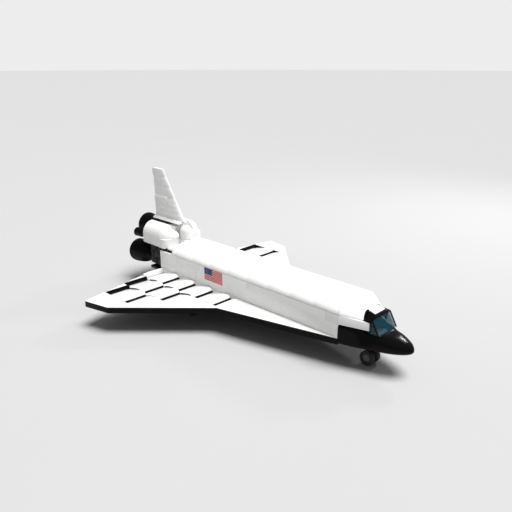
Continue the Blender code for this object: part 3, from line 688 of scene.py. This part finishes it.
wingRim = [(253.8, 32.3), (112.5, 32.3), (112.5, 64.0), (70.0, 64.0), (70.0, 96.0), (41.0, 96.0), (41.0, 128.4), (-15.4, 128.4),
           (-8.5, 158.5), (25.7, 150.7), (114.5, 66.2)]
wingRear = [(-33.5, 32.3), (-27.3, 32.3), (-27.3, 63.8), (-30.4, 63.8), (-33.5, 52.0)]
wingWhole = [(-33.5, 32.3), (253.8, 32.3), (114.5, 66.2), (25.7, 150.7), (-8.5, 158.5), (-15.4, 128.2), (-9.3, 128.2), (-9.3, 95.8),
             (-17.3, 95.8), (-17.3, 63.8), (-30.4, 63.8), (-33.5, 52.0)]


def insetOutline(outline, by):
    # moves every side of an anticlockwise outline inwards
    moved = []
    for before, here, after in zip(outline[-1:] + outline[:-1], outline, outline[1:] + outline[:1]):
        one, two = (Vector((a[1] - b[1], b[0] - a[0])).normalized() for a, b in ((before, here), (here, after)))
        shift = (one + two) / max(1 + one.dot(two), 0.2) * by
        moved.append((here[0] + shift.x, here[1] + shift.y))
    return moved


def tileHeight(part):
    for (pa, za), (pb, zb) in zip(wing["tile"], wing["tile"][1:]):
        if part <= pb:
            return za + (zb - za) * (part - pa) / (pb - pa)
    return wing["tile"][-1][1]


def buildWings():
    long, low = wing["tileLong"], wing["tileFoot"]
    for sideName, side in sides:
        bm = bmesh.new()
        for spans in wing["plates"]:
            prism(bm, wingRim, *spans, "Z", wing["edge"])
            prism(bm, wingRear, *spans, "Z", wing["edge"])
        prism(bm, insetOutline(wingWhole, 0.15), -6.75, -4.5, "Z", 0.1)
        put("wingPlates" + sideName.title(), bm, ["wing_" + sideName], "black_plastic", side=side)
        bm = bmesh.new()
        prism(bm, wingRim, 0.1, wing["skin"], "Z", wing["edge"])
        prism(bm, wingRear, 0.1, wing["skin"], "Z", wing["edge"])
        fairing = [(-30.2, 0.2), (-30.2, 0.8), (-29.4, 1.8), (-28.0, 2.3), (-26.2, 2.0), (-26.2, -4.4), (-26.9, -4.4)]
        prism(bm, fairing, 32.8, 63.4, "Y", 0.12)
        block(bm, (-26.5, 112.0), (32.05, 32.7), (-5.0, -0.1), 0.1)
        for y0, y1, rear, firstFront, count, rampEnd in wing["rows"]:
            for k in range(count):
                tileRear = firstFront + (k - 1) * long
                outline = [(tileRear + part * long, z) for part, z in wing["tile"] if tileRear + part * long > rear + 0.4]
                start = outline[0]
                if start[0] > rear + 0.5:
                    outline = [(max(rear, tileRear), start[1] - 0.3)] + outline
                outline = [(outline[0][0], low)] + outline + [(outline[-1][0] - 0.02, low)]
                prism(bm, outline, y0, y1, "Y", wing["edge"], least=40)
            last = firstFront + (count - 1) * long
            climb = wing["skin"] - wing["field"]
            ramp = [(last + part * (rampEnd + 0.1 - last), wing["field"] + rise * climb) for part, rise in wing["ramp"]]
            prism(bm, [(last, low)] + ramp + [(rampEnd + 0.1, low)], y0, y1, "Y", wing["edge"], least=40)
        put("wingSkin" + sideName.title(), bm, ["wing_skin_" + sideName], side=side)
        # black bricks that show at the front and the outer side of the tiles
        bm = bmesh.new()
        for y0, y1, rear, firstFront, count, rampEnd in wing["rows"]:
            for k in range(count):
                front = firstFront + k * long
                block(bm, (front - 0.1, front + 0.35), (y0 + 0.05, y1 - 0.05), (-4.9, -1.3), 0.05)
        for y, firstFront, spans in wing["sideStrips"]:
            for n, (xa, xb) in enumerate(spans):
                tileRear = firstFront + (n - 1) * long
                top = []
                for k in range(9):
                    x = xa + (xb - xa) * k / 8
                    top.append((x, tileHeight((x - tileRear) / long) - 0.35))
                prism(bm, [(xa, -5.0)] + top + [(xb, -5.0)], y - 0.12, y + 0.06, "Y", 0.0)
        put("tileFronts" + sideName.title(), bm, (), "black_plastic", side=side)


elevons = {"inner": (-20.4, 64.3, 95.5, -30.3, -23.7), "outer": (-12.4, 96.3, 127.7, -23.0, -15.8), "radius": 2.6, "middle": -1.2}


def buildElevons():
    radius, mid = elevons["radius"], elevons["middle"]
    for sideName, side in sides:
        for label in ("inner", "outer"):
            hinge, y0, y1, tail0, tail1 = elevons[label]
            ending = label + "_" + sideName
            titles, body = label.title() + sideName.title(), "elevon_" + ending
            bm = bmesh.new()
            knuckles = 4
            wide = (y1 - y0) / knuckles
            for k in range(knuckles):
                a, b = y0 + k * wide + (0.1 if k else 0), y0 + (k + 1) * wide - (0.1 if k < knuckles - 1 else 0)
                drum = [(a, 0), (a, radius - 0.3), (a + 0.3, radius), (b - 0.3, radius), (b, radius - 0.3), (b, 0)]
                turned(bm, drum, (hinge, 0, mid), "Y", 32)
            turned(bm, [(y0 + 0.2, 0), (y0 + 0.2, radius - 0.4), (y1 - 0.2, radius - 0.4), (y1 - 0.2, 0)], (hinge, 0, mid), "Y", 24)
            put("elevonHinge" + titles, bm, ["elevon_bar_" + ending], "black_plastic", body=body, side=side)
            bm = bmesh.new()
            front = hinge - radius - 0.1
            prism(bm, [(front, y0), (front, y1), (tail1, y1), (tail0, y0)], mid - 1.2, mid + 1.2, "Z", 0.25)
            put("elevonBlade" + titles, bm, [body], body=body, side=side)


buildWings()
buildElevons()
print("wings built")


# engines
bell = {
    "places": (("top", 0.0, 42.5), ("port", 18.0, 8.2), ("starboard", -18.0, 8.2)),
    # place along the axis and radius, from the engine block to the rim and back inside
    "neck": ((-64.3, 0), (-64.3, 6.2), (-66.4, 6.2), (-66.6, 7.1), (-68.2, 7.2), (-68.4, 6.7), (-72.0, 8.4), (-74.3, 10.0)),
    "cone": ((-74.3, 10.0), (-79.0, 12.3), (-84.3, 13.7), (-91.0, 14.8), (-98.4, 15.6)),
    "rib": ((0.55, -0.05), (0.4, 0.4), (-0.4, 0.4), (-0.55, -0.02)),
    "rim": ((-98.6, 15.55), (-98.8, 16.0), (-101.2, 16.0), (-101.4, 15.8), (-101.4, 14.8), (-101.1, 14.6)),
    "inside": ((-98.4, 14.0), (-91.0, 13.2), (-84.3, 11.9), (-79.0, 10.3), (-74.3, 8.0), (-72.0, 6.4),
               (-71.3, 3.2), (-72.6, 2.6), (-73.2, 0)),
}
nozzle = {
    "place": (0, 24.0, 37.5),
    "profile": ((-68.3, 0), (-68.3, 3.2), (-71.0, 3.4), (-71.2, 3.9), (-72.4, 3.9), (-72.6, 3.5), (-81.0, 5.0), (-81.2, 5.5),
                (-82.2, 5.5), (-82.4, 5.1), (-92.6, 6.2), (-93.0, 6.0), (-93.0, 5.2), (-92.6, 5.0),
                (-81.0, 3.8), (-75.0, 2.4), (-75.0, 0)),
}
studShape = ((0, 0), (0, 2.4), (-1.45, 2.4), (-1.62, 2.32), (-1.7, 2.15), (-1.7, 0))


def bellProfile():
    ribs = []
    for (xa, ra), (xb, rb) in zip(bell["cone"], bell["cone"][1:]):
        for t in (0.25, 0.75):
            ribs += [(xa + (xb - xa) * t + along, ra + (rb - ra) * t + out) for along, out in bell["rib"]]
    return [*bell["neck"], *ribs, *bell["rim"], *bell["inside"]]


def buildEngines():
    bm = bmesh.new()
    for z0, z1, cuts in ((0.0, 9.55, (-64, -48, -32.3)), (9.65, 19.15, (-64, -56, -32.3)), (19.25, 28.5, (-64, -48, -32.3))):
        for a, b in zip(cuts, cuts[1:]):
            for y0, y1 in ((-24, -8.05), (-7.95, 7.95), (8.05, 24)):
                block(bm, (a + 0.05, b - 0.05), (y0, y1), (z0, z1), 0.25)
    for y in (-20, -12, -4, 4, 12, 20):
        for z in (4, 12, 20):
            if abs(abs(y) - 18) + abs(z - 8.2) > 13:
                turned(bm, studShape, (-64, y, z), "X", 24)
    put("engineBlock", bm, ["engine_block"], "black_plastic")
    bm = bmesh.new()
    for y0, y1 in ((-24, -0.1), (0.1, 24)):
        block(bm, (-66, -32.3), (y0, y1), (-8.4, -5.0), 0.3)
    put("bodyFlap", bm, ["body_flap"], "black_plastic")
    for name, y, z in bell["places"]:
        bm = bmesh.new()
        turned(bm, bellProfile(), (0, y, z), "X", 64)
        put("bell" + name.title(), bm, ["bell_" + name], "black_plastic")
    for sideName, side in sides:
        bm = bmesh.new()
        turned(bm, nozzle["profile"], nozzle["place"], "X", 40)
        put("nozzle" + sideName.title(), bm, ["nozzle_" + sideName], "black_plastic", side=side)


# pods and fin
pod = {
    "rear": -68.0, "roundFrom": -36.0, "front": -20.0, "foot": 28.8, "middle": 41.6, "inner": 8.3,
    "centre": 16.0, "radius": 16.0, "corner": 8.0, "cut": 2.0, "edge": 0.22,
}


def podOutline(rear, by=0.0):
    # plan of the straight lower half: one corner at the front is round
    radius, mid = pod["corner"], pod["centre"] + pod["radius"] - pod["corner"]
    curve = [(pod["front"] - radius + (radius - by) * sin(t), mid + (radius - by) * cos(t)) for t in quarter(10)]
    return [(rear + by, pod["inner"]), (rear + by, curve[0][1])] + curve + [(pod["front"] - by, pod["inner"])]


def buildPods():
    middleY, middleZ, radius, seam, inner = (pod[key] for key in ("centre", "middle", "radius", "roundFrom", "inner"))

    def boxPlan(half):
        return [(pod["rear"], inner), (pod["rear"], half), (seam - 0.6, half), (seam - 0.6, inner)]

    def domeRing(x, part):
        # the round top; from its middle a low shelf runs in to the fin's core
        reach, foot = radius * part, middleZ + 0.05
        ring = [(x, middleY + reach * cos(t), foot + reach * sin(t)) for t in quarter(16)[1:]]
        shelf = foot + 0.5 * reach
        return [(x, inner, foot), (x, middleY + reach, foot), *ring, (x, middleY, shelf), (x, inner, shelf)]

    long = pod["front"] - seam
    for sideName, side in sides:
        bm = bmesh.new()
        for plan, lower in ((boxPlan(middleY + radius), boxPlan(middleY + radius - pod["cut"])),
                            (podOutline(seam - 0.5), podOutline(seam - 0.5, pod["cut"] * 0.6))):
            rows = [(lower, pod["foot"]), (plan, pod["foot"] + pod["cut"]), (plan, middleZ - 0.4), (plan, middleZ - 0.05)]
            loft(bm, [[(x, y, z) for x, y in outline] for outline, z in rows], pod["edge"], least=40)
        rings = [domeRing(pod["rear"], 1.0), domeRing(pod["rear"] + 0.8, 1.0), domeRing(seam, 1.0)]
        rings += [domeRing(seam + long * sin(t), max(cos(t), 0.02) ** 0.92) for t in quarter(14)[1:]]
        loft(bm, rings, pod["edge"], least=40)
        put("pod" + sideName.title(), bm, ["pod_" + sideName], side=side)


fin = {
    # foot, top, rear, front of the flat side at foot and top, leading edge at foot and top, half thickness at foot and top
    "lower": (
        (60.85, 70.3, -74.6, -31.0, -37.0, -17.8, -24.0, 4.0, 4.0), (70.4, 76.75, -40.95, -37.0, -41.0, -24.0, -28.2, 4.0, 4.0),
        (76.85, 81.3, -75.2, -41.0, -44.0, -28.2, -31.3, 4.0, 4.0), (81.4, 89.6, -49.46, -48.5, -48.5, -31.3, -36.9, 4.0, 2.5),
    ),
    "upper": (
        (89.65, 102.6, -76.6, -46.0, -54.6, -37.0, -45.2, 2.6, 2.6), (102.7, 115.4, -77.4, -54.6, -62.4, -45.2, -53.3, 2.6, 2.6),
        (115.5, 125.4, -79.6, -64.8, -69.0, -53.3, -58.6, 2.6, 2.6),
    ),
    # bricks behind the second row, and the white shoulder behind the row that leans in
    "bricks": ((-74.9, -55.05), (-54.95, -41.05)), "shoulderEnds": (-76.0, -49.54),
    "shoulder": ((-4, 81.4), (4, 81.4), (4, 87.6), (2.7, 90.2), (-2.7, 90.2), (-4, 87.6)),
    "domeAt": -16.0, "domeRadius": 7.9, "domeTop": 56.9,
}


def finRing(z, rear, flatFront, edge, half):
    # plan of the fin at one height, with an oval leading edge
    nose = [(flatFront + (edge - flatFront) * sin(t), half * cos(t)) for t in quarter(8)]
    return [(rear, -half, z)] + [(x, -y, z) for x, y in nose] + [(x, y, z) for x, y in reversed(nose[:-1])] + [(rear, half, z)]


def buildFin():
    for part in ("lower", "upper"):
        bm = bmesh.new()
        for foot, top, rear, flat0, flat1, edge0, edge1, half0, half1 in fin[part]:
            rings = [finRing(foot, rear, flat0, edge0, half0), finRing(top, rear, flat1, edge1, half1)]
            loft(bm, rings, 0.2 if half0 == half1 else 0.12, least=50)
        if part == "lower":
            for ends in fin["bricks"]:
                block(bm, ends, (-4, 4), fin["lower"][1][:2])
            prism(bm, fin["shoulder"], *fin["shoulderEnds"], "X", 0.12)
        put("fin" + part.title(), bm, ["fin_" + part])
    bm = bmesh.new()
    block(bm, (-64, -29), (-8, 8), (28.8, 54.1), 0.25)
    block(bm, (-30, -8.3), (-7.9, 7.9), (28.9, 38.4), 0.25)
    for y0, y1 in ((-28.8, -8.0), (8.0, 28.8)):
        block(bm, (-19.8, -8.3), (y0, y1), (28.6, 31.2))
    put("finCore", bm, ["fin_core"])
    bm = bmesh.new()
    block(bm, (-77, -60.05), (-8, 8), (54.4, 57.6))
    block(bm, (-59.95, -43.6), (-8, 8), (54.4, 57.6))
    put("finBase", bm, ["fin_base"], "black_plastic")
    bm = bmesh.new()
    for rear, front in ((-76.5, -53.25), (-53.15, -21.2)):
        prism(bm, [(-8, 57.65), (8, 57.65), (8, 58.1), (5.6, 60.8), (-5.6, 60.8), (-8, 58.1)], rear, front, "X")
    put("finRoot", bm, ["fin_root"])
    bm = bmesh.new()
    radius, top = fin["domeRadius"], fin["domeTop"]
    profile = [(38.7, 0), (38.7, radius - 0.3), (39.0, radius)]
    profile += [(top - radius + radius * sin(t), radius * cos(t)) for t in quarter(14)[:-1]]
    turned(bm, profile + [(top, 0)], (fin["domeAt"], 0, 0), "Z", 48)
    put("tailDome", bm, ["tail_dome"])
    bm = bmesh.new()
    for y0, y1 in ((-29.5, -0.1), (0.1, 29.5)):
        block(bm, (-32, -8.3), (y0, y1), (25.9, 28.5))
    put("tailDeck", bm, ["tail_deck"], "black_plastic")


buildEngines()
buildPods()
buildFin()
print("tail built")


# landing gear
gear = {
    "axle": -24.6, "lugs": 24, "lugRows": ((2.7, 4.9), (5.1, 7.3)),
    # name, station, side offset, body of its wheels
    "places": (("nose", 275.6, 0.0, "nose_wheels"), ("main_port", 54.5, 48.0, "main_wheels_port"),
               ("main_starboard", 54.5, -48.0, "main_wheels_starboard")),
    # place along the axle and radius; tyre and rim from the leg's middle outwards
    "collar": ((-1.5, 1.75), (-1.5, 2.9), (-1.3, 3.0), (1.3, 3.0), (1.5, 2.9), (1.5, 1.75), (-1.5, 1.75)),
    "shaft": ((-7.2, 0), (-7.2, 1.5), (7.2, 1.5), (7.2, 0)),
    "rim": ((2.0, 1.4), (2.0, 4.0), (7.0, 4.0), (7.2, 3.8), (7.2, 3.2), (6.5, 3.0), (6.5, 1.9), (7.0, 1.8), (7.0, 1.4), (2.0, 1.4)),
    "tyre": ((2.0, 4.3), (2.0, 5.6), (2.25, 6.6), (3.0, 7.5), (3.5, 7.65), (6.5, 7.65), (7.0, 7.5), (7.75, 6.6),
             (8.0, 5.6), (8.0, 5.2), (7.75, 5.1), (7.75, 4.3), (2.0, 4.3)),
    # radius and half width as a part of the pitch, at a lug's foot and top; corners of a spoke
    "lug": ((7.3, -0.34), (8.0, -0.289), (8.0, 0.289), (7.3, 0.34)),
    "spoke": ((1.65, -0.35), (3.25, -0.35), (3.25, 0.35), (1.65, 0.35)), "spokes": 6,
}


def titled(name):
    return "".join(word.title() for word in name.split("_"))


def buildTyre(bm, x, y, z, way):
    # way is the side of the leg that the tyre is on
    turned(bm, [(along * way, radius) for along, radius in gear["tyre"]], (x, y, z), "Y", 48)
    pitch = 2 * pi / gear["lugs"]
    for row, (low, high) in enumerate(gear["lugRows"]):
        for k in range(gear["lugs"]):
            turns = [(pitch * (k + row * 0.5 + part), reach) for reach, part in gear["lug"]]
            points = [(x + reach * cos(t), z + reach * sin(t)) for t, reach in turns]
            prism(bm, points, y + low * way, y + high * way, "Y", 0.0)


def buildGear():
    z = gear["axle"]
    for name, x, y, body in gear["places"]:
        bm = bmesh.new()
        block(bm, (x - 8, x + 8), (y - 8, y + 8), (-10.3, -7.1), 0.25)
        block(bm, (x - 2.5, x + 2.5), (y - 1.5, y + 1.5), (z + 2.0, -8.7))
        turned(bm, gear["collar"], (x, y, z), "Y", 32)
        for way in (-1, 1):
            prism(bm, [(x + way * 2.3, -10.2), (x + way * 5.6, -10.2), (x + way * 2.3, -15.6)], y - 0.9, y + 0.9, "Y", 0.15)
        put("gearLeg" + titled(name), bm, ["gear_leg_" + name], "black_plastic")
        bm = bmesh.new()
        turned(bm, gear["shaft"], (x, y, z), "Y", 24)
        for way in (-1, 1):
            turned(bm, [(along * way, radius) for along, radius in gear["rim"]], (x, y, z), "Y", 40)
            for k in range(gear["spokes"]):
                c, s = cos(2 * pi * k / gear["spokes"]), sin(2 * pi * k / gear["spokes"])
                points = [(x + out * c - aside * s, z + out * s + aside * c) for out, aside in gear["spoke"]]
                prism(bm, points, y + 6.3 * way, y + 7.0 * way, "Y", 0.08)
        put("wheelHubs" + titled(name), bm, ["axle_" + name], "grey_plastic", ["darkGreyPlastic"], body)
        for tyreSide, way in sides:
            bm = bmesh.new()
            buildTyre(bm, x, y, z, way)
            put("tyre" + titled(name) + tyreSide.title(), bm, ["tyre_%s_%s" % (name, tyreSide)], "tyre", body=body)


buildGear()
print("landing gear built")


# studio
studio = {
    "floor": (0.46, 0.46, 0.46), "floorShade": (0.45, 0.45, 0.45), "floorRadius": 14.0, "sky": 0.27, "backdrop": 0.85,
    "sun": 4.8, "sunAngle": 34.0, "sunFrom": (0.28, 0.08, 0.95), "spark": 1.6, "sparkSize": 0.11, "sparkFrom": (0.075, 0.80, 0.53),
    # the photograph's own view, in metres, degrees and millimetres of lens
    "eye": (0.44308, -0.45693, 0.29889), "down": 19.2109, "turn": 44.0152, "lens": 40.22, "film": 36.0,
}


def hang(name, lamp, place, target=(0, 0, 0.03)):
    holder = bpy.data.objects.new(name, lamp)
    holder.location = place
    holder.rotation_mode = "QUATERNION"
    holder.rotation_quaternion = (Vector(target) - Vector(place)).to_track_quat("-Z", "Y")
    bpy.context.scene.collection.objects.link(holder)
    return holder


def buildStudio():
    bm = bmesh.new()
    turned(bm, [(-0.002, 0), (-0.002, studio["floorRadius"]), (0.0, studio["floorRadius"]), (0.0, 0)], (0, 0, 0), "Z", 64)
    floor = objectFrom("studioFloor", bm, bpy.context.scene.collection)
    made, w, place = newMaterial("studioPaper")
    tone = w.blend(w.noise(place, 6.0, 3.0), (*studio["floor"], 1), (*studio["floorShade"], 1))
    addShader(w, {"Base Color": tone, "Roughness": 0.9, "Specular IOR Level": 0.1})
    floor.data.materials.append(made)

    # an even sky that fills the shadows, and a backdrop as pale as the floor
    world = bpy.data.worlds.new("studioSky")
    world.use_nodes = True
    world.node_tree.nodes.clear()
    w = Wires(world.node_tree)
    sky = w.add("ShaderNodeBackground", {"Strength": studio["sky"]}).outputs[0]
    backdrop = w.add("ShaderNodeBackground", {"Strength": studio["backdrop"]}).outputs[0]
    for node in world.node_tree.nodes:
        node.inputs["Color"].default_value = (1, 1, 1, 1)
    seen = w.add("ShaderNodeLightPath").outputs["Is Camera Ray"]
    both = w.add("ShaderNodeMixShader", {0: seen, 1: sky, 2: backdrop}).outputs[0]
    w.add("ShaderNodeOutputWorld", {"Surface": both})
    bpy.context.scene.world = world

    sun = bpy.data.lights.new("softSun", "SUN")
    sun.energy = studio["sun"]
    sun.angle = radians(studio["sunAngle"])
    hang("softSun", sun, studio["sunFrom"]).visible_glossy = False
    spark = bpy.data.lights.new("sparkLight", "AREA")
    spark.shape = "DISK"
    spark.size = studio["sparkSize"]
    spark.energy = studio["spark"]
    hang("sparkLight", spark, studio["sparkFrom"])

    lens = bpy.data.cameras.new("photoCamera")
    lens.sensor_width, lens.lens = studio["film"], studio["lens"]
    lens.clip_start, lens.clip_end = 0.01, 50
    eye = bpy.data.objects.new("photoCamera", lens)
    eye.location = studio["eye"]
    eye.rotation_euler = (radians(90 - studio["down"]), 0, radians(studio["turn"]))
    bpy.context.scene.collection.objects.link(eye)
    bpy.context.scene.camera = eye
    bpy.context.scene.view_settings.view_transform = "Standard"


buildStudio()
print("studio ready")
